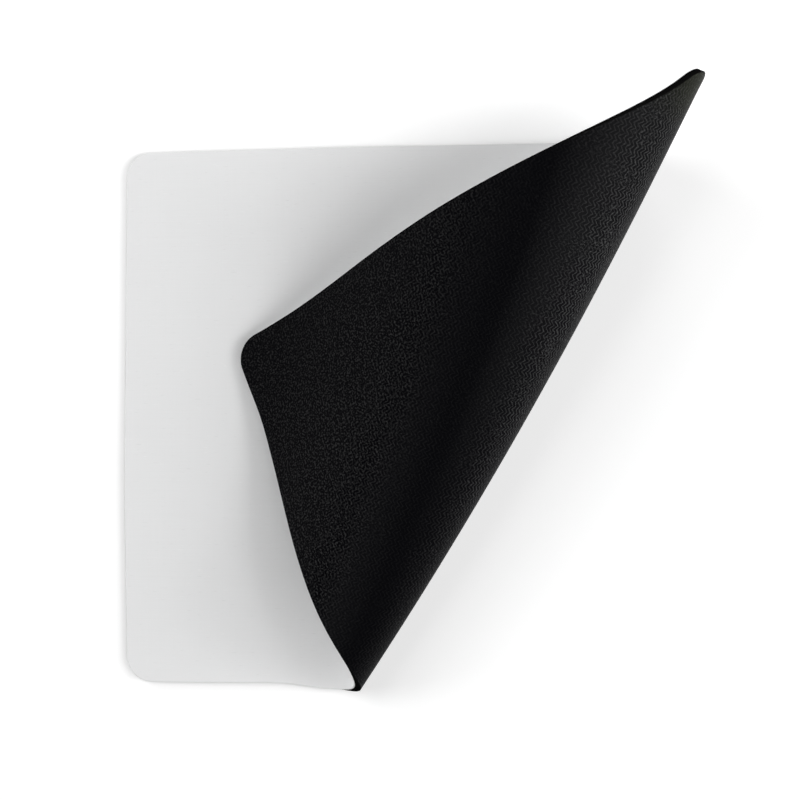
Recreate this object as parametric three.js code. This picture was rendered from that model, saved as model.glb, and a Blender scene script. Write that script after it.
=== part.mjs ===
// A soft mouse pad: a white woven cloth bonded to a black rubber sheet by a thin adhesive film.
// The pad lies on a table with its right-hand part rolled up and over to the left, so that the
// rubber underside of the lower right corner faces up and the upper right corner stands in the air.
//
// The sheet is described flat first, seen from its cloth side: x runs to the right from its lower
// left corner, y runs up to its upper edge, and z points away from the table. It is then bent like
// a cone. Each straight line of the bent sheet, called a ray here, runs through one point, the
// apex, which lies below the lower edge, and a ray is known by its angle to the y axis.
//
// All lengths are in millimetres.

import * as THREE from 'three';

// The sheet, laid flat
const padWidth = 240;
const padDepth = 200;
const cornerRadius = 9.5;

// Its layers, from the mousing face down
const clothThickness = 0.45;
const filmThickness = 0.1;
const rubberThickness = 2.45;
const padThickness = clothThickness + filmThickness + rubberThickness;

// The roll: where its rays meet, and the angle of the ray where the sheet leaves the table
const apexRightOfCorner = 6.8;
const apexBelowEdge = 146.2;
const liftOffAngle = THREE.MathUtils.degToRad(23.3);

// How far the middle of the roll swells out past a true cone, and how far the free upper end springs
// open where the sheet folds over
const rollSwell = 4;
const endSpring = 4.8;

// The height of the flap's corner over the cloth that it is folded onto
const flapGap = 0.6;

// How sharply the sheet bends, at even steps from the ray where it leaves the table to the ray
// through the flap's corner. Below nought it bends back, as a springy sheet does past its fold.
const bendShares = [0, 1, 0.9, 0.73, 0.46, 0.22, -0.03, -0.23, -0.28];

// The turns between which the fold is closed, and the part of the flap that settles on the cloth
const loosestTurn = THREE.MathUtils.degToRad(120);
const tightestTurn = THREE.MathUtils.degToRad(250);
const settlingShare = 0.8;

// The fineness of the surface: rays over the lying part and over the roll, rays through each round
// corner, cells along each ray, and steps of the bend up to a ray
const lyingRayCount = 6;
const rollRayCount = 72;
const cornerRayCount = 5;
const cellCount = 5;
const bendStepCount = 160;

// A search stops when it has closed in to this share of the space that it started with
const closeEnoughShare = 1e-13;

// Rays that cross less than this share of a corner's radius are left out, and so are rays closer to
// the one before than this share of the spacing in the roll
const shortestRayShare = 0.1;
const closestRayShare = 0.125;

const apex = new THREE.Vector3(apexRightOfCorner, -apexBelowEdge, padThickness / 2);
const farthestReach = apexBelowEdge + padDepth + padWidth;
const flapAngle = angleThrough(padWidth, 0);
const rollSpan = flapAngle - liftOffAngle;
const meanBendShare = meanOf(bendShares);

// The angle of the ray through a point of the flat sheet
function angleThrough(x, y) {
  return Math.atan2(x - apexRightOfCorner, y + apexBelowEdge);
}

// The mean height of a line drawn through evenly spaced values
function meanOf(values) {
  let sum = 0;
  for (let n = 1; n < values.length; n += 1) {
    sum += (values[n - 1] + values[n]) / 2;
  }
  return sum / (values.length - 1);
}

// The bend share at a place along the roll, from 0 at its start to 1 at the flap's corner
function bendShareAt(place) {
  const position = THREE.MathUtils.clamp(place, 0, 1) * (bendShares.length - 1);
  const before = Math.min(Math.floor(position), bendShares.length - 2);
  return THREE.MathUtils.lerp(bendShares[before], bendShares[before + 1], position - before);
}

// Halves the space between two values until it closes on the place where isAbove turns false
function closeIn(above, below, isAbove) {
  const closeEnough = closeEnoughShare * Math.abs(below - above);
  let low = above;
  let high = below;
  while (Math.abs(high - low) > closeEnough) {
    const middle = (low + high) / 2;
    if (isAbove(middle)) {
      low = middle;
    } else {
      high = middle;
    }
  }
  return (low + high) / 2;
}

// How far a point of the flat sheet lies outside its rounded outline, negative inside it
function outsideBy(x, y) {
  const pastX = Math.abs(x - padWidth / 2) - (padWidth / 2 - cornerRadius);
  const pastY = Math.abs(y - padDepth / 2) - (padDepth / 2 - cornerRadius);
  const pastBoth = Math.hypot(Math.max(pastX, 0), Math.max(pastY, 0));
  return pastBoth + Math.min(Math.max(pastX, pastY), 0) - cornerRadius;
}

// The distances from the apex at which a ray enters and leaves the flat sheet
function rayLimits(angle) {
  const outsideAt = (reach) => outsideBy(
    apexRightOfCorner + reach * Math.sin(angle),
    reach * Math.cos(angle) - apexBelowEdge,
  );
  let near = 0;
  let far = farthestReach;
  while (far - near > closeEnoughShare * farthestReach) {
    const third = (far - near) / 3;
    if (outsideAt(near + third) < outsideAt(far - third)) {
      far -= third;
    } else {
      near += third;
    }
  }
  const deepest = (near + far) / 2;
  const isOutside = (reach) => outsideAt(reach) > 0;
  return {
    enter: closeIn(0, deepest, isOutside),
    leave: closeIn(farthestReach, deepest, isOutside),
  };
}

// Evenly spaced values, with both ends
function evenly(start, end, steps) {
  return Array.from({ length: steps + 1 }, (_, n) => THREE.MathUtils.lerp(start, end, n / steps));
}

// The angles of the rays through one round corner of the sheet
function cornerAngles(centreX, centreY, startOfArc) {
  return evenly(startOfArc, startOfArc + Math.PI / 2, cornerRayCount).map((around) => angleThrough(
    centreX + cornerRadius * Math.cos(around),
    centreY + cornerRadius * Math.sin(around),
  ));
}

// The rays that carry the surface, from the left edge to the flap's corner
function makeRays() {
  const left = cornerRadius;
  const right = padWidth - cornerRadius;
  const lower = cornerRadius;
  const upper = padDepth - cornerRadius;
  const angles = [
    ...cornerAngles(left, upper, Math.PI / 2),
    ...cornerAngles(left, lower, Math.PI),
    ...cornerAngles(right, lower, -Math.PI / 2),
    ...cornerAngles(right, upper, 0),
    ...evenly(0, liftOffAngle, lyingRayCount),
    ...evenly(liftOffAngle, flapAngle, rollRayCount),
  ];
  const closest = closestRayShare * rollSpan / rollRayCount;
  const rays = [];
  angles.sort((one, other) => one - other).forEach((angle) => {
    const { enter, leave } = rayLimits(angle);
    const isLongEnough = leave - enter > cornerRadius * shortestRayShare;
    const isApart = rays.length === 0 || angle - rays.at(-1).angle > closest;
    if (isLongEnough && isApart) {
      rays.push({ angle, enter, leave });
    }
  });
  return rays;
}

// How the bent sheet stands at a ray: how far it has turned from the table, and its rotation
function bendAt(angle, wholeTurn) {
  const rotation = new THREE.Quaternion();
  const stepTurn = new THREE.Quaternion();
  const axis = new THREE.Vector3();
  const covered = Math.max(angle - liftOffAngle, 0);
  let turned = 0;
  for (let n = 0; n < bendStepCount; n += 1) {
    const middle = liftOffAngle + covered * (n + 0.5) / bendStepCount;
    const sharpness = bendShareAt((middle - liftOffAngle) / rollSpan) / meanBendShare;
    const turn = wholeTurn * sharpness * covered / rollSpan / bendStepCount;
    axis.set(Math.sin(middle), Math.cos(middle), 0);
    rotation.multiply(stepTurn.setFromAxisAngle(axis, -turn));
    turned += turn;
  }
  return { turned, rotation };
}

// A point of the bent sheet: a share of the way along a ray, at a height over the middle of the
// sheet's thickness, counted towards the cloth
function pointOf(ray, bend, share, height) {
  const reach = THREE.MathUtils.lerp(ray.enter, ray.leave, share);
  const facingOut = Math.sin(THREE.MathUtils.clamp(bend.turned, 0, Math.PI));
  const foldingOver = Math.sin(2 * THREE.MathUtils.clamp(bend.turned, Math.PI / 2, Math.PI));
  const swelling = rollSwell * facingOut * facingOut * 4 * share * (1 - share);
  const springing = endSpring * foldingOver * foldingOver * share * share;
  const point = new THREE.Vector3(
    reach * Math.sin(ray.angle),
    reach * Math.cos(ray.angle),
    height - swelling - springing,
  );
  return point.applyQuaternion(bend.rotation).add(apex);
}

// The lowest point of the flap's end over the lying cloth, for a fold of a given turn
function flapHeight(rays, wholeTurn) {
  const settling = liftOffAngle + rollSpan * settlingShare;
  const heights = rays.filter((ray) => ray.angle > settling).flatMap((ray) => {
    const bend = bendAt(ray.angle, wholeTurn);
    return [0, 1].map((share) => pointOf(ray, bend, share, padThickness / 2).z);
  });
  return Math.min(...heights) - padThickness;
}

// One closed layer of the sheet between two heights. Neighbouring layers share their face point by
// point, because every layer is cut along the same rays.
function layerGeometry(rays, bends, bottom, top) {
  const positions = [];
  rays.forEach((ray, n) => {
    evenly(0, 1, cellCount).forEach((share) => {
      positions.push(...pointOf(ray, bends[n], share, bottom).toArray());
      positions.push(...pointOf(ray, bends[n], share, top).toArray());
    });
  });
  const lastRay = rays.length - 1;
  const index = (ray, cell, side) => (ray * (cellCount + 1) + cell) * 2 + side;
  const triangles = [];
  const addQuad = (a, b, c, d) => triangles.push(a, b, c, a, c, d);
  for (let ray = 0; ray < lastRay; ray += 1) {
    for (let cell = 0; cell < cellCount; cell += 1) {
      const [a, b] = [index(ray, cell, 0), index(ray + 1, cell, 0)];
      const [c, d] = [index(ray + 1, cell + 1, 0), index(ray, cell + 1, 0)];
      addQuad(a + 1, b + 1, c + 1, d + 1);
      triangles.push(a, c, b, a, d, c);
    }
    const [enterHere, enterNext] = [index(ray, 0, 0), index(ray + 1, 0, 0)];
    const [leaveHere, leaveNext] = [index(ray, cellCount, 0), index(ray + 1, cellCount, 0)];
    addQuad(enterHere, enterNext, enterNext + 1, enterHere + 1);
    addQuad(leaveNext, leaveHere, leaveHere + 1, leaveNext + 1);
  }
  for (let cell = 0; cell < cellCount; cell += 1) {
    const [firstHere, firstNext] = [index(0, cell, 0), index(0, cell + 1, 0)];
    const [lastHere, lastNext] = [index(lastRay, cell, 0), index(lastRay, cell + 1, 0)];
    addQuad(firstNext, firstHere, firstHere + 1, firstNext + 1);
    addQuad(lastHere, lastNext, lastNext + 1, lastHere + 1);
  }
  const geometry = new THREE.BufferGeometry();
  geometry.setAttribute('position', new THREE.Float32BufferAttribute(positions, 3));
  geometry.setIndex(triangles);
  geometry.computeVertexNormals();
  return geometry;
}

const clothMaterial = new THREE.MeshStandardMaterial({ color: 0xe8e8e6, roughness: 0.95, metalness: 0 });
const filmMaterial = new THREE.MeshStandardMaterial({ color: 0xcfcabb, roughness: 0.5, metalness: 0 });
const rubberMaterial = new THREE.MeshStandardMaterial({ color: 0x1b1b1c, roughness: 0.7, metalness: 0 });

const clothTop = padThickness / 2;
const filmTop = clothTop - clothThickness;
const rubberTop = filmTop - filmThickness;
const rubberBottom = rubberTop - rubberThickness;
const layers = [
  { name: 'cloth_face', bottom: filmTop, top: clothTop, material: clothMaterial },
  { name: 'bonding_film', bottom: rubberTop, top: filmTop, material: filmMaterial },
  { name: 'rubber_base', bottom: rubberBottom, top: rubberTop, material: rubberMaterial },
];

const rays = makeRays();
const closedTurn = closeIn(loosestTurn, tightestTurn, (turn) => flapHeight(rays, turn) > flapGap);
const bends = rays.map((ray) => bendAt(ray.angle, closedTurn));

const pad = new THREE.Group();
pad.name = 'mouse_pad';
layers.forEach(({ name, bottom, top, material }) => {
  const mesh = new THREE.Mesh(layerGeometry(rays, bends, bottom, top), material);
  mesh.name = name;
  pad.add(mesh);
});

// The part's origin is under the middle of its box, on the table
const box = new THREE.Box3().setFromObject(pad);
const middle = box.getCenter(new THREE.Vector3());
pad.position.set(-middle.x, -middle.y, 0);

export default pad;
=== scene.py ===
"""A soft mouse pad on a pale table, its lower right corner rolled up and over.

The pad is three bonded layers: white woven cloth, an adhesive film, and black rubber with a fine
moulded zigzag underneath. Each layer is meshed flat, with its cut edge, and then bent around the
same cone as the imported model. "Flat place" below means a point of the sheet before it is bent:
x to the right and y up from its lower left corner, and a height over the middle of its thickness,
counted towards the cloth. Shapes are in metres, and the materials count the flat sheet's
millimetres.
"""
import math

import bpy
import numpy as np
from mathutils import Matrix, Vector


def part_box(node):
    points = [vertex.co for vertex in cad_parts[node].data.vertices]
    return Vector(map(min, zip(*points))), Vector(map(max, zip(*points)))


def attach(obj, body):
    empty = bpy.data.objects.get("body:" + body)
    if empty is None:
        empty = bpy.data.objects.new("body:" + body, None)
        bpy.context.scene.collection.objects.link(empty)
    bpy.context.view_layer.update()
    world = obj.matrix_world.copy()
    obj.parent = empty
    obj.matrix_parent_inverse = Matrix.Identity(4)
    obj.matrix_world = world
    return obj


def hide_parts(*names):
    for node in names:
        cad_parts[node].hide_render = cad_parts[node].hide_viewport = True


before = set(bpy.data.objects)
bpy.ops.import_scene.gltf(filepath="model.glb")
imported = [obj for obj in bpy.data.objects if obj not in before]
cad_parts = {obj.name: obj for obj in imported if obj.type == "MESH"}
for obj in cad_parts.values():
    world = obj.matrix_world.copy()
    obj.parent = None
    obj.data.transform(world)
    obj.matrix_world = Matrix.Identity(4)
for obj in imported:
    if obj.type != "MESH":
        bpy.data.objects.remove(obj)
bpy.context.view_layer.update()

MM = 0.001

# The sheet, its layers and the roll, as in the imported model
PAD_WIDTH = 240 * MM
PAD_DEPTH = 200 * MM
CORNER_RADIUS = 9.5 * MM
CLOTH_THICKNESS = 0.45 * MM
FILM_THICKNESS = 0.1 * MM
RUBBER_THICKNESS = 2.45 * MM
PAD_THICKNESS = CLOTH_THICKNESS + FILM_THICKNESS + RUBBER_THICKNESS
APEX_RIGHT_OF_CORNER = 6.8 * MM
APEX_BELOW_EDGE = 146.2 * MM
LIFT_OFF_ANGLE = math.radians(23.3)
ROLL_SWELL = 4 * MM
END_SPRING = 4.8 * MM
FLAP_GAP = 0.6 * MM
BEND_SHARES = (0, 1, 0.9, 0.73, 0.46, 0.22, -0.03, -0.23, -0.28)
LOOSEST_TURN = math.radians(120)
TIGHTEST_TURN = math.radians(250)
SETTLING_SHARE = 0.8

CLOTH_TOP = PAD_THICKNESS / 2
FILM_TOP = CLOTH_TOP - CLOTH_THICKNESS
RUBBER_TOP = FILM_TOP - FILM_THICKNESS
RUBBER_BOTTOM = RUBBER_TOP - RUBBER_THICKNESS
FLAP_ANGLE = math.atan2(PAD_WIDTH - APEX_RIGHT_OF_CORNER, APEX_BELOW_EDGE)
ROLL_SPAN = FLAP_ANGLE - LIFT_OFF_ANGLE

# How far the cut edges wander inward from straight, in millimetres, at even steps along each edge,
# and how far into the sheet that is felt. The lower and upper edges run from left to right, the
# left and right ones from below.
LOWER_WANDER = (0.2, 0.25, 0.4, 0.7, 0.95, -0.5, -0.9, -0.6, 0, 0.2, 0.25, 0, -0.2, -0.1, 0.15, -0.4, -0.2)
UPPER_WANDER = (0.4, 0.1, 0, -0.2, -0.1, 0, 0, -0.3, -2.2)
LEFT_WANDER = (0.8, 0.3, -0.1, -0.4, -0.15, 0.15, 0.35, 0.55, 0.7)
RIGHT_WANDER = (-0.1, 0, 0.1, 0, -0.15, -0.3, -0.3, -0.1, 0.45, 0.35, -0.1)
WANDER_DEPTH = 25 * MM

# How finely the bend is worked out: its steps, the rays whose ends are looked up, the rays over the
# settling flap, and the rounds of each search
BEND_STEPS = 1200
RAY_COUNT = 2400
FLAP_RAY_COUNT = 200
THIRDING_ROUNDS = 80
HALVING_ROUNDS = 60
TURN_ROUNDS = 24

# The first ray, in radians, is a little left of the sheet. Rays shorter than this count as this long.
FIRST_RAY_ANGLE = -0.07
SHORTEST_RAY = 0.1 * MM

# The mesh's cells over the flat sheet and round each corner, and how far in from the cut edge its
# rings lie, on a face that shows and on one that is bonded to the next layer
CELLS_ACROSS = 150
CELLS_DEEP = 124
CORNER_CELLS = 14
SHOWN_INSETS = [inset * MM for inset in (8.2, 6.9, 5.6, 4.4, 3.3, 2.4, 1.7, 1.1, 0.7)]
BONDED_INSETS = [inset * MM for inset in (6.9, 3.3, 0.7)]

# The cut edge: its rounded rims and their steps, how far each layer's cut lies inward, and how
# hollow the rubber's is
CLOTH_ROUND = 0.22 * MM
CLOTH_ROUND_STEPS = 4
CLOTH_CUT_INSET = 0.02 * MM
FILM_CUT_INSET = 0.05 * MM
RUBBER_ROUND = 0.35 * MM
RUBBER_ROUND_STEPS = 5
RUBBER_CUT_STEPS = 6
RUBBER_HOLLOW = 0.07 * MM


# The bent sheet

def outside_by(x, y):
    """How far flat places lie outside the sheet's rounded outline, negative inside it."""
    past_x = np.abs(x - PAD_WIDTH / 2) - (PAD_WIDTH / 2 - CORNER_RADIUS)
    past_y = np.abs(y - PAD_DEPTH / 2) - (PAD_DEPTH / 2 - CORNER_RADIUS)
    past_both = np.hypot(np.maximum(past_x, 0), np.maximum(past_y, 0))
    return past_both + np.minimum(np.maximum(past_x, past_y), 0) - CORNER_RADIUS


def on_ray(angles, reach):
    """The flat places on rays from the apex, at a distance along each."""
    return (APEX_RIGHT_OF_CORNER + reach * np.sin(angles),
            reach * np.cos(angles) - APEX_BELOW_EDGE)


def ray_limits(angles):
    """The distances from the apex at which rays enter and leave the flat sheet."""
    near = np.zeros_like(angles)
    farthest = np.full_like(angles, APEX_BELOW_EDGE + PAD_DEPTH + PAD_WIDTH)
    far = farthest.copy()
    for _ in range(THIRDING_ROUNDS):
        third = (far - near) / 3
        closer = outside_by(*on_ray(angles, near + third)) < outside_by(*on_ray(angles, far - third))
        near, far = np.where(closer, near, near + third), np.where(closer, far - third, far)
    deepest = (near + far) / 2

    def close_in(outer):
        inner = deepest.copy()
        for _ in range(HALVING_ROUNDS):
            middle = (outer + inner) / 2
            out = outside_by(*on_ray(angles, middle)) > 0
            outer, inner = np.where(out, middle, outer), np.where(out, inner, middle)
        return (outer + inner) / 2

    return close_in(np.zeros_like(angles)), close_in(farthest)


def smooth_along(values, share):
    """A smooth curve through evenly spaced values, at shares from 0 to 1 of its length."""
    ends = np.array([2 * values[0] - values[1], *values, 2 * values[-1] - values[-2]])
    position = np.clip(share, 0, 1) * (len(values) - 1)
    n = np.minimum(position.astype(int), len(values) - 2)
    t = position - n
    a, b, c, d = ends[n], ends[n + 1], ends[n + 2], ends[n + 3]
    return b + t / 2 * (c - a + t * (2 * a - 5 * b + 4 * c - d + t * (3 * (b - c) + d - a)))


def wandering(flat):
    """Flat places moved with the cut edges, which aren't quite straight."""
    x, y = flat[:, 0], flat[:, 1]
    moved = flat.copy()
    for wander, along, length, depth, axis, inward in (
            (LOWER_WANDER, x, PAD_WIDTH, y, 1, 1),
            (UPPER_WANDER, x, PAD_WIDTH, PAD_DEPTH - y, 1, -1),
            (LEFT_WANDER, y, PAD_DEPTH, x, 0, 1),
            (RIGHT_WANDER, y, PAD_DEPTH, PAD_WIDTH - x, 0, -1)):
        fade = np.clip(1 - depth / WANDER_DEPTH, 0, 1) ** 2
        moved[:, axis] += inward * fade * smooth_along(wander, along / length) * MM
    return moved


class Bend:
    """The cone that the sheet is bent around, for one whole turn."""

    def __init__(self, whole_turn):
        angles = LIFT_OFF_ANGLE + ROLL_SPAN * np.linspace(0, 1, BEND_STEPS + 1)
        middles = (angles[1:] + angles[:-1]) / 2
        shares = np.interp((middles - LIFT_OFF_ANGLE) / ROLL_SPAN,
                           np.linspace(0, 1, len(BEND_SHARES)), BEND_SHARES)
        mean = np.mean([(a + b) / 2 for a, b in zip(BEND_SHARES, BEND_SHARES[1:])])
        turns = whole_turn * shares / mean / BEND_STEPS
        self.turned = np.concatenate([[0], np.cumsum(turns)])
        rotation = Matrix.Identity(3)
        rotations = [rotation.copy()]
        for middle, turn in zip(middles, turns):
            axis = (math.sin(middle), math.cos(middle), 0)
            rotation = rotation @ Matrix.Rotation(-turn, 3, axis)
            rotations.append(rotation.copy())
        self.rotations = np.array(rotations)
        self.ray_angles = np.linspace(FIRST_RAY_ANGLE, FLAP_ANGLE, RAY_COUNT)
        self.enter, self.leave = ray_limits(self.ray_angles)

    def place(self, flat):
        """The bent places of flat ones, an array of rows x, y, height."""
        x, y = flat[:, 0] - APEX_RIGHT_OF_CORNER, flat[:, 1] + APEX_BELOW_EDGE
        angle, reach = np.arctan2(x, y), np.hypot(x, y)
        step = np.clip((angle - LIFT_OFF_ANGLE) / ROLL_SPAN, 0, 1) * BEND_STEPS
        before = np.minimum(step.astype(int), BEND_STEPS - 1)
        past = (step - before)[:, None, None]
        rotation = self.rotations[before] * (1 - past) + self.rotations[before + 1] * past
        turned = np.interp(step, np.arange(BEND_STEPS + 1), self.turned)
        enter = np.interp(angle, self.ray_angles, self.enter)
        leave = np.interp(angle, self.ray_angles, self.leave)
        share = np.clip((reach - enter) / np.maximum(leave - enter, SHORTEST_RAY), 0, 1)
        facing_out = np.sin(np.clip(turned, 0, math.pi))
        folding_over = np.sin(2 * np.clip(turned, math.pi / 2, math.pi))
        swelling = ROLL_SWELL * facing_out ** 2 * 4 * share * (1 - share)
        springing = END_SPRING * folding_over ** 2 * share ** 2
        local = np.stack([x, y, flat[:, 2] - swelling - springing], 1)
        bent = np.einsum("nij,nj->ni", rotation, local)
        return bent + (APEX_RIGHT_OF_CORNER, -APEX_BELOW_EDGE, PAD_THICKNESS / 2)

    def flap_height(self):
        """The lowest point of the flap's end over the lying cloth."""
        settling = LIFT_OFF_ANGLE + ROLL_SPAN * SETTLING_SHARE
        angles = np.linspace(settling, FLAP_ANGLE, FLAP_RAY_COUNT)[:-1]
        ends = [np.stack([*on_ray(angles, reach), np.full_like(angles, CLOTH_TOP)], 1)
                for reach in ray_limits(angles)]
        return self.place(np.concatenate(ends))[:, 2].min() - PAD_THICKNESS


def closed_bend():
    """The bend whose flap's corner comes to its height over the lying cloth."""
    loose, tight = LOOSEST_TURN, TIGHTEST_TURN
    for _ in range(TURN_ROUNDS):
        turn = (loose + tight) / 2
        if Bend(turn).flap_height() > FLAP_GAP:
            loose = turn
        else:
            tight = turn
    return Bend((loose + tight) / 2)


bend = closed_bend()

# The flat sheet's lower left corner has the least x and y of the cloth's box
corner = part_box("cloth_face")[0]


# Meshes

def grid_number(i, j):
    """The number of a point of the inner grid, which the sheet's rounded rim runs around."""
    return j * (CELLS_ACROSS + 1) + i


def stations(xs, ys):
    """The places round the sheet's edge where its mesh has points: the corner or side point of
    the inner grid that each belongs to, the direction outward and that grid point's number, in
    order round the sheet from the lower left."""
    left, right, lower, upper = xs[0], xs[-1], ys[0], ys[-1]
    base, outward, start = [], [], []

    def add_side(points, direction, numbers):
        base.extend(points)
        outward.extend([direction] * len(points))
        start.extend(numbers)

    def add_corner(point, first_angle, number):
        for n in range(1, CORNER_CELLS):
            around = first_angle + math.pi / 2 * n / CORNER_CELLS
            base.append(point)
            outward.append((math.cos(around), math.sin(around)))
            start.append(number)

    across, deep = range(CELLS_ACROSS + 1), range(CELLS_DEEP + 1)
    add_side([(x, lower) for x in xs], (0, -1), [grid_number(i, 0) for i in across])
    add_corner((right, lower), -math.pi / 2, grid_number(CELLS_ACROSS, 0))
    add_side([(right, y) for y in ys], (1, 0), [grid_number(CELLS_ACROSS, j) for j in deep])
    add_corner((right, upper), 0, grid_number(CELLS_ACROSS, CELLS_DEEP))
    add_side([(x, upper) for x in xs[::-1]], (0, 1), [grid_number(i, CELLS_DEEP) for i in across[::-1]])
    add_corner((left, upper), math.pi / 2, grid_number(0, CELLS_DEEP))
    add_side([(left, y) for y in ys[::-1]], (-1, 0), [grid_number(0, j) for j in deep[::-1]])
    add_corner((left, lower), math.pi, grid_number(0, 0))
    return np.array(base), np.array(outward), start


def layer_faces(start, inner_count, ring_count):
    """The faces of a closed layer: its upper and lower grids, and the rings between them. With
    each comes the ring that it starts from, or None."""
    around = len(start)
    lower = inner_count + around * ring_count
    faces, rings = [], []

    def add(ring, *points):
        faces.append(points)
        rings.append(ring)

    def at(ring, n):
        return inner_count + ring * around + n % around

    for j in range(CELLS_DEEP):
        for i in range(CELLS_ACROSS):
            a, b = grid_number(i, j), grid_number(i + 1, j)
            c, d = grid_number(i + 1, j + 1), grid_number(i, j + 1)
            add(None, a, b, c, d)
            add(None, lower + d, lower + c, lower + b, lower + a)
    last = ring_count - 1
    for n in range(around):
        here, after = start[n], start[(n + 1) % around]
        if here == after:
            add(None, here, at(0, n), at(0, n + 1))
            add(None, lower + here, at(last, n + 1), at(last, n))
        else:
            add(None, here, at(0, n), at(0, n + 1), after)
            add(None, lower + after, at(last, n + 1), at(last, n), lower + here)
        for ring in range(last):
            add(ring, at(ring, n), at(ring + 1, n), at(ring + 1, n + 1), at(ring, n + 1))
    return faces, rings


def layer_mesh(name, upper_face, cut, lower_face):
    """A closed layer of the sheet, bent. Its profile is given as (inset from the cut edge, height)
    inward to outward over the upper face, down the cut, and back inward under the lower face.
    The cut's faces take the second material."""
    xs = np.linspace(CORNER_RADIUS, PAD_WIDTH - CORNER_RADIUS, CELLS_ACROSS + 1)
    ys = np.linspace(CORNER_RADIUS, PAD_DEPTH - CORNER_RADIUS, CELLS_DEEP + 1)
    base, outward, start = stations(xs, ys)
    grid_x, grid_y = np.meshgrid(xs, ys)
    inner = np.stack([grid_x.ravel(), grid_y.ravel()], 1)
    profile = [*upper_face, *cut, *lower_face]

    def level(points, height):
        return np.column_stack([points, np.full(len(points), height)])

    flat = [level(inner, profile[0][1])]
    for inset, height in profile:
        flat.append(level(base + outward * (CORNER_RADIUS - inset), height))
    flat.append(level(inner, profile[-1][1]))
    flat = np.concatenate(flat)

    faces, rings = layer_faces(start, len(inner), len(profile))
    cut_rings = range(len(upper_face), len(upper_face) + len(cut) - 1)
    is_cut = [ring in cut_rings for ring in rings]

    mesh = bpy.data.meshes.new(name)
    points = bend.place(wandering(flat)) + (corner.x, corner.y, 0)
    mesh.from_pydata(points.tolist(), [], faces)
    mesh.polygons.foreach_set("material_index", np.array(is_cut, dtype=np.int32))
    mesh.polygons.foreach_set("use_smooth", np.ones(len(faces), dtype=bool))
    place = mesh.attributes.new("flat_place", "FLOAT_VECTOR", "POINT")
    place.data.foreach_set("vector", (flat / MM).astype(np.float32).ravel())
    mesh.update()
    piece = bpy.data.objects.new(name, mesh)
    bpy.context.scene.collection.objects.link(piece)
    return piece


def at_height(insets, height):
    return [(inset, height) for inset in insets]


def rounded(radius, steps):
    """The insets and drops of a rounded rim: a quarter circle that ends at the cut."""
    angles = [math.pi / 2 * n / steps for n in range(steps + 1)]
    return [(radius * (1 - math.sin(angle)), radius * (1 - math.cos(angle))) for angle in angles]


def cloth_piece():
    rim = [(inset, CLOTH_TOP - drop) for inset, drop in rounded(CLOTH_ROUND, CLOTH_ROUND_STEPS)]
    return layer_mesh("pad_cloth", at_height(SHOWN_INSETS, CLOTH_TOP),
                      [*rim, (CLOTH_CUT_INSET, FILM_TOP)],
                      at_height(BONDED_INSETS[::-1], FILM_TOP))


def film_piece():
    return layer_mesh("pad_film", at_height(BONDED_INSETS, FILM_TOP),
                      [(FILM_CUT_INSET, FILM_TOP), (FILM_CUT_INSET, RUBBER_TOP)],
                      at_height(BONDED_INSETS[::-1], RUBBER_TOP))


def rubber_piece():
    """The rubber. Its cut is a little hollow, as a die leaves it."""
    cut = []
    for step in range(RUBBER_CUT_STEPS):
        share = step / RUBBER_CUT_STEPS
        height = RUBBER_TOP + (RUBBER_BOTTOM + RUBBER_ROUND - RUBBER_TOP) * share
        cut.append((RUBBER_HOLLOW * math.sin(math.pi * share), height))
    for inset, drop in rounded(RUBBER_ROUND, RUBBER_ROUND_STEPS)[::-1]:
        cut.append((inset, RUBBER_BOTTOM + drop))
    return layer_mesh("pad_rubber", at_height(BONDED_INSETS, RUBBER_TOP), cut,
                      at_height(SHOWN_INSETS[::-1], RUBBER_BOTTOM))


cloth = cloth_piece()
film = film_piece()
rubber = rubber_piece()


# Materials

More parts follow.
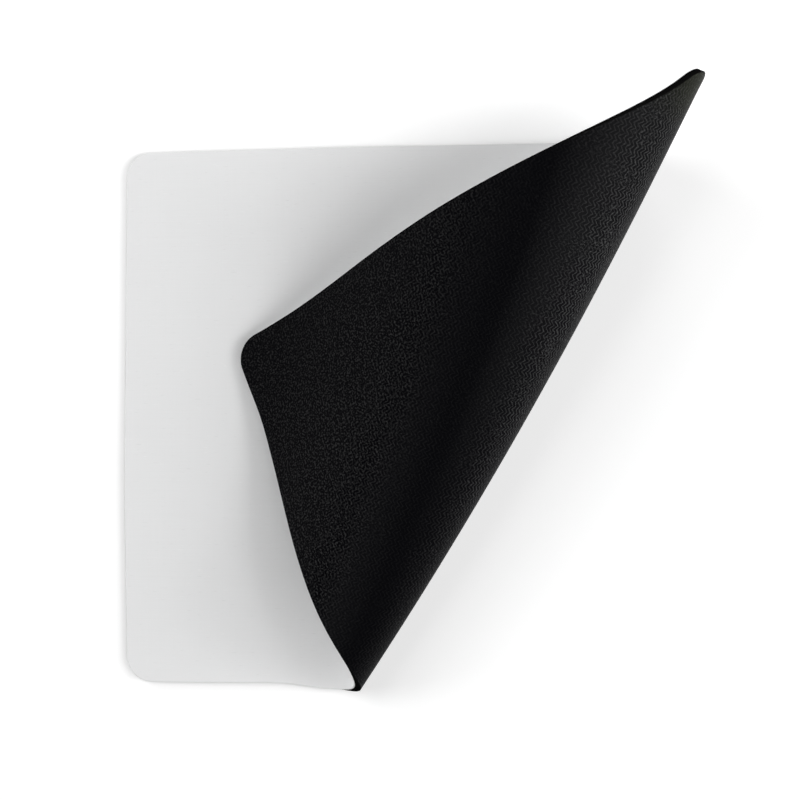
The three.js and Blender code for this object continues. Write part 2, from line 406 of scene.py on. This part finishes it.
class Shading:
    """A material's node tree, with short ways to add to it."""

    def __init__(self, name):
        self.material = bpy.data.materials.new(name)
        self.material.use_nodes = True
        self.nodes = self.material.node_tree.nodes
        self.links = self.material.node_tree.links
        self.surface = self.nodes["Principled BSDF"]

    def put(self, socket, value):
        """Links a socket to another one, or sets it to a plain value."""
        if isinstance(value, bpy.types.NodeSocket):
            self.links.new(value, socket)
        else:
            socket.default_value = value

    def add(self, kind, settings=None, out=0, **inputs):
        """One output of a new node, which has these settings and inputs."""
        node = self.nodes.new(kind)
        for key, value in (settings or {}).items():
            setattr(node, key, value)
        for key, value in inputs.items():
            self.put(node.inputs[key.replace("_", " ")], value)
        return node.outputs[out]

    def math(self, operation, a, b=None, c=None):
        node = self.nodes.new("ShaderNodeMath")
        node.operation = operation
        for n, value in enumerate((a, b, c)):
            if value is not None:
                self.put(node.inputs[n], value)
        return node.outputs[0]

    def length(self, a, b):
        return self.math("SQRT", self.math("ADD", self.math("MULTIPLY", a, a),
                                           self.math("MULTIPLY", b, b)))

    def wave(self, value, pitch):
        """A sine wave, from -1 to 1."""
        return self.math("SINE", self.math("MULTIPLY", value, 2 * math.pi / pitch))

    def place(self):
        """The flat place in millimetres."""
        return self.add("ShaderNodeAttribute", {"attribute_name": "flat_place"}, out="Vector")

    def axes(self, vector):
        """The first two numbers of a vector, x and y."""
        parts = self.nodes.new("ShaderNodeSeparateXYZ")
        self.put(parts.inputs[0], vector)
        return parts.outputs["X"], parts.outputs["Y"]

    def noise(self, vector, scale, detail=2.0, roughness=0.5):
        """A noise from 0 to 1. scale is about how many of its waves fit in one unit of the vector:
        one number, or one for each of x, y and height."""
        if isinstance(scale, tuple):
            vector, scale = self.add("ShaderNodeMapping", Vector=vector, Scale=scale), 1.0
        return self.add("ShaderNodeTexNoise", Vector=vector, Scale=scale, Detail=detail,
                        Roughness=roughness)

    def spread(self, value, low, high, to_low=0.0, to_high=1.0):
        """A value from low to high, spread from to_low to to_high and held there beyond."""
        return self.add("ShaderNodeMapRange", {"clamp": True}, Value=value, From_Min=low,
                        From_Max=high, To_Min=to_low, To_Max=to_high)

    def blend(self, share, a, b):
        """Colour a where the share is 0, b where it is 1. The node's sockets for numbers and
        vectors come before those for colours."""
        node = self.nodes.new("ShaderNodeMix")
        node.data_type = "RGBA"
        for n, value in ((0, share), (6, a), (7, b)):
            self.put(node.inputs[n], value)
        return node.outputs[2]

    def complete(self, colour, roughness, relief=None, depth=None, **constants):
        """The material, with its colour, roughness, relief and the surface's other constants."""
        self.put(self.surface.inputs["Base Color"], colour)
        self.put(self.surface.inputs["Roughness"], roughness)
        if relief is not None:
            bump = self.add("ShaderNodeBump", Height=relief, Distance=depth)
            self.put(self.surface.inputs["Normal"], bump)
        for key, value in constants.items():
            self.surface.inputs[key.replace("_", " ")].default_value = value
        return self.material


def grey(value, warmth=0.0):
    return (value * (1 + warmth), value, value * (1 - warmth), 1)


# How deep the relief of each surface is
WEAVE_DEPTH = 0.012 * MM
THREAD_END_DEPTH = 0.06 * MM
FILM_DEPTH = 0.03 * MM
ZIGZAG_DEPTH = 0.25 * MM
TORN_DEPTH = 0.12 * MM

# The cloth's weave in millimetres: the pitch of its threads both ways and how far they wander
WARP_PITCH = 0.62
WEFT_PITCH = 0.5
THREAD_WANDER = 0.25


def cloth_shading():
    s = Shading("white_cloth")
    place = s.place()
    x, y = s.axes(place)
    wander = s.noise(place, 0.35)
    warp = s.wave(s.math("MULTIPLY_ADD", wander, THREAD_WANDER, x), WARP_PITCH)
    weft = s.wave(s.math("MULTIPLY_ADD", wander, THREAD_WANDER, y), WEFT_PITCH)
    weave = s.math("MULTIPLY_ADD", s.math("MULTIPLY", warp, weft), 0.5, 0.5)

    # Threads and picks that are a little darker or lighter, thick places in them, and soft mottling
    threads = s.noise(place, (0.03, 2.6, 0.0), 3.0, 0.7)
    picks = s.noise(place, (2.2, 0.025, 0.0), 2.0, 0.6)
    slubs = s.noise(place, (0.3, 2.0, 0.0), 1.0)
    mottle = s.noise(place, 0.045, 3.0)
    tone = s.math("MULTIPLY_ADD", threads, 0.5, s.math("MULTIPLY", picks, 0.25))
    tone = s.math("MULTIPLY_ADD", mottle, 0.25, tone)
    colour = s.blend(s.spread(tone, 0.35, 0.65), grey(0.842, -0.003), grey(0.867, -0.003))
    colour = s.blend(s.math("MULTIPLY", weave, 0.06), colour, grey(0.72))
    colour = s.blend(s.spread(slubs, 0.68, 0.8, 0.0, 0.5), colour, grey(0.93))
    colour = s.blend(s.spread(slubs, 0.32, 0.2, 0.0, 0.4), colour, grey(0.7))
    return s.complete(colour, s.spread(tone, 0.3, 0.7, 0.78, 0.9),
                      s.math("MULTIPLY_ADD", threads, 0.4, weave), WEAVE_DEPTH,
                      Sheen_Weight=0.12, Sheen_Roughness=0.5, Specular_IOR_Level=0.25)


def cloth_cut_shading():
    s = Shading("white_cloth_cut")
    ends = s.noise(s.place(), (2.4, 2.4, 7.0), 3.0, 0.7)
    colour = s.blend(s.spread(ends, 0.35, 0.65), grey(0.76), grey(0.9))
    return s.complete(colour, s.spread(ends, 0.3, 0.7, 0.85, 0.97), ends, THREAD_END_DEPTH,
                      Sheen_Weight=0.2)


def film_shading():
    s = Shading("adhesive_film")
    cloud = s.noise(s.place(), 1.1, 3.0)
    colour = s.blend(s.spread(cloud, 0.35, 0.65), (0.52, 0.49, 0.42, 1), (0.66, 0.64, 0.58, 1))
    return s.complete(colour, s.spread(cloud, 0.3, 0.7, 0.4, 0.6), cloud, FILM_DEPTH)


# The rubber's zigzag in millimetres: its wave along the lines, the pitch between them, their slope,
# and how far they wander over some millimetres and jitter over one
ZIGZAG_WAVE = 2.74
ZIGZAG_PITCH = 1.40
ZIGZAG_SLOPE = 0.9
ZIGZAG_WANDER = 0.7
ZIGZAG_JITTER = 1.1

# The zigzag gives way to a worm-like grain between the first two of these rays, in degrees. The
# texture is faintest along the third, the middle of the painted dark band, where it comes close to one
# even value.
ZIGZAG_RAY = 38
GRAIN_RAY = 46
FAINT_RAY = 38
EVEN_TEXTURE = 0.25

# The black's tones, with painted light: one for all but the flap's end, the painted light that the
# flap adds to it, and the painted light that the roll's side adds at its lower and upper ends, a
# painted highlight towards the upper end. Between the side and the flap they leave a painted dark
# band. The borders of the flap and the side slant against the rays, by this many degrees for each
# millimetre out.
ROLL_BLACK = 0.0092
FLAP_PAINTED_LIGHT = 0.023
LOWER_SIDE_PAINTED_LIGHT = -0.002
UPPER_SIDE_PAINTED_HIGHLIGHT = 0.0605
BORDER_SLANT = -0.014

# The sheet's upper right tip is worn pale: wholly up to the first of these distances from it, in
# millimetres, and not at all past the second. The third is how ragged that is.
WORN_NEAR = 14
WORN_FAR = 32
WORN_RAGGED = 14

# What the black holds of blue besides its grey
BLUE_TINGE = 0.0007


def rubber_ray(s, x, y):
    """Where a flat place lies on the roll: its ray's angle in degrees, and the distance out."""
    ray_x = s.math("SUBTRACT", x, APEX_RIGHT_OF_CORNER / MM)
    ray_y = s.math("ADD", y, APEX_BELOW_EDGE / MM)
    return s.math("DEGREES", s.math("ARCTAN2", ray_x, ray_y)), s.length(ray_x, ray_y)


def rubber_ridges(s, place, x, y):
    """The moulded zigzag, whose lines run up to the right, from -1 to 1."""
    half = math.sqrt(0.5)
    wander = s.math("MULTIPLY_ADD", s.noise(place, 0.22), ZIGZAG_WANDER, -ZIGZAG_WANDER / 2)
    jitter = s.math("MULTIPLY_ADD", s.noise(place, 0.9, 1.0), ZIGZAG_JITTER, -ZIGZAG_JITTER / 2)
    along = s.math("MULTIPLY", s.math("ADD", x, y), half)
    across = s.math("MULTIPLY", s.math("SUBTRACT", x, y), half)
    across = s.math("ADD", across, s.math("ADD", wander, jitter))
    step = s.math("PINGPONG", along, ZIGZAG_WAVE / 2)
    return s.wave(s.math("MULTIPLY_ADD", step, -ZIGZAG_SLOPE, across), ZIGZAG_PITCH)


def rubber_texture(s, place, grain, ridges, angle):
    """From 0 in the hollows to 1: the zigzag, clearest on the roll's side, and the grain beyond."""
    zigzag = s.math("MULTIPLY", s.spread(ridges, 0.35, 0.8), s.math("MULTIPLY_ADD", grain, 0.3, 0.7))
    clear = s.math("MULTIPLY", s.spread(angle, ZIGZAG_RAY, GRAIN_RAY, 0.9, 0.2),
                   s.spread(s.noise(place, 0.14), 0.35, 0.55, 0.4, 1.0))
    texture = s.math("MULTIPLY_ADD", s.math("SUBTRACT", zigzag, grain), clear, grain)
    off_faint = s.math("ABSOLUTE", s.math("SUBTRACT", angle, FAINT_RAY))
    return s.math("MULTIPLY_ADD", s.math("SUBTRACT", texture, EVEN_TEXTURE),
                  s.spread(off_faint, 1.5, 4.0, 0.4, 1.0), EVEN_TEXTURE)


def rubber_black_and_painted_light(s, angle, reach):
    """The black's tone with painted light: a little paler over the flap, a painted highlight along the
    upper part of the roll's side, and a painted dark band between them.
    """
    slanted = s.math("MULTIPLY_ADD", reach, BORDER_SLANT, angle)
    flap = s.math("MULTIPLY", s.spread(slanted, 34.0, 37.4, 0.0, FLAP_PAINTED_LIGHT),
                  s.spread(reach, 260, 350, 1.0, 0.55))
    side = s.math("MULTIPLY", s.spread(slanted, 33.3, 30.0),
                  s.spread(reach, 170, 350, LOWER_SIDE_PAINTED_LIGHT, UPPER_SIDE_PAINTED_HIGHLIGHT))
    return s.math("ADD", s.spread(angle, 43, 54, ROLL_BLACK, 0.0), s.math("ADD", flap, side))


def rubber_wear(s, place, x, y):
    """How worn the rubber is, 1 at the sheet's upper right tip."""
    off = s.length(s.math("SUBTRACT", x, PAD_WIDTH / MM), s.math("SUBTRACT", y, PAD_DEPTH / MM))
    ragged = s.math("MULTIPLY_ADD", s.noise(place, 0.06, 3.0), WORN_RAGGED, off)
    return s.spread(ragged, WORN_NEAR, WORN_FAR, 1.0, 0.0)


def rubber_shading():
    s = Shading("black_rubber")
    place = s.place()
    x, y = s.axes(place)
    angle, reach = rubber_ray(s, x, y)
    grain = s.spread(s.noise(place, 1.4, 1.0), 0.52, 0.62)
    texture = rubber_texture(s, place, grain, rubber_ridges(s, place, x, y), angle)
    # The tone holds painted light: a painted dark band across the roll and a painted highlight on its side
    tone = s.math("MULTIPLY", rubber_black_and_painted_light(s, angle, reach), texture)
    unworn = s.add("ShaderNodeCombineColor", Red=tone, Green=tone, Blue=s.math("ADD", tone, BLUE_TINGE))
    rubbed = s.blend(grain, (0.014, 0.015, 0.011, 1), (0.026, 0.028, 0.02, 1))
    worn = rubber_wear(s, place, x, y)
    relief = s.math("MULTIPLY", texture, s.math("MULTIPLY_ADD", worn, -0.85, 1.0))
    return s.complete(s.blend(worn, unworn, rubbed), s.spread(texture, 0.2, 0.8, 0.55, 0.42),
                      relief, ZIGZAG_DEPTH, Specular_IOR_Level=0.0275)


def rubber_cut_shading():
    s = Shading("black_rubber_cut")
    place = s.place()
    pits = s.spread(s.add("ShaderNodeTexVoronoi", Vector=place, Scale=3.2), 0.1, 0.55)
    torn = s.noise(place, 1.4, 4.0, 0.7)
    colour = s.blend(s.math("MULTIPLY", pits, torn), grey(0.002), grey(0.008, 0.02))
    return s.complete(colour, s.spread(torn, 0.3, 0.7, 0.85, 0.97), s.math("ADD", pits, torn),
                      TORN_DEPTH, Specular_IOR_Level=0.0)


film_material = film_shading()
for piece, face_material, cut_material in (
        (cloth, cloth_shading(), cloth_cut_shading()),
        (film, film_material, film_material),
        (rubber, rubber_shading(), rubber_cut_shading())):
    piece.data.materials.append(face_material)
    piece.data.materials.append(cut_material)

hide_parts("cloth_face")
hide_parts("bonding_film")
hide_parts("rubber_base")
for piece in (cloth, film, rubber):
    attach(piece, "root")


# The table, lit faintly from behind, as product photographers do for a clean white ground

TABLE_HALF = 2.0
TABLE_DROP = 0.05 * MM
TABLE_GLOW = 0.27


def table_shading():
    s = Shading("pale_table")
    cloud = s.noise(s.add("ShaderNodeTexCoord", out="Object"), 3.0)
    return s.complete(s.blend(cloud, grey(0.9), grey(0.92)), 0.9, Specular_IOR_Level=0.1,
                      Emission_Color=grey(1), Emission_Strength=TABLE_GLOW)


def table():
    signs = ((-1, -1), (1, -1), (1, 1), (-1, 1))
    mesh = bpy.data.meshes.new("table_top")
    mesh.from_pydata([(x * TABLE_HALF, y * TABLE_HALF, 0) for x, y in signs], [], [(0, 1, 2, 3)])
    mesh.materials.append(table_shading())
    top = bpy.data.objects.new("table_top", mesh)
    top.location.z = -TABLE_DROP
    bpy.context.scene.collection.objects.link(top)


table()


# Light

LIGHT_DISTANCE = 1.2
LIGHT_SIZE = 0.38
SKY_STRENGTH = 0.01

# Each light's name, azimuth and elevation in degrees, and power in watts. Azimuth 0 is at the
# right, and 90 at the upper edge.
LIGHTS = (
    ("light_right_low", 0, 26, 5.1),
    ("light_right_high", 0, 44, 3.2),
    ("light_front_right", 334, 44, 2.0),
    ("light_front_high", 320, 62, 2.3),
    ("light_back", 80, 26, 1.4),
    ("light_back_high", 120, 62, 1.5),
    ("light_left_back", 140, 26, 3.4),
    ("light_left_low", 180, 26, 2.7),
    ("light_left_high", 154, 44, 2.1),
)


def softbox(name, azimuth, elevation, power):
    """A square light that faces the pad."""
    lamp = bpy.data.lights.new(name, "AREA")
    lamp.size = LIGHT_SIZE
    lamp.energy = power
    around, up = math.radians(azimuth), math.radians(elevation)
    holder = bpy.data.objects.new(name, lamp)
    bpy.context.scene.collection.objects.link(holder)
    away = Matrix.Rotation(around, 4, "Z") @ Matrix.Rotation(math.pi / 2 - up, 4, "Y")
    holder.matrix_world = away @ Matrix.Translation((0, 0, LIGHT_DISTANCE))


def sky():
    world = bpy.data.worlds.new("studio")
    bpy.context.scene.world = world
    world.use_nodes = True
    background = world.node_tree.nodes["Background"]
    background.inputs["Color"].default_value = (1, 1, 1, 1)
    background.inputs["Strength"].default_value = SKY_STRENGTH


sky()
for light in LIGHTS:
    softbox(*light)


# Camera: its lens and sensor in millimetres, and its place and turns from looking straight down

FOCAL_LENGTH = 57.751
SENSOR_WIDTH = 36
CAMERA_PLACE = (0.05462, 0.00146, 0.47275)
CAMERA_TURN_X = 0.0034
CAMERA_TURN_Y = -0.1157
CAMERA_TURN_Z = -0.0005

camera_data = bpy.data.cameras.new("camera")
camera_data.sensor_width = SENSOR_WIDTH
camera_data.lens = FOCAL_LENGTH
camera = bpy.data.objects.new("camera", camera_data)
bpy.context.scene.collection.objects.link(camera)
turn = (Matrix.Rotation(CAMERA_TURN_Z, 3, "Z") @ Matrix.Rotation(CAMERA_TURN_Y, 3, "Y")
        @ Matrix.Rotation(CAMERA_TURN_X, 3, "X"))
camera.matrix_world = Matrix.Translation(CAMERA_PLACE) @ turn.transposed().to_4x4()
bpy.context.scene.camera = camera
bpy.context.scene.view_settings.view_transform = "Standard"
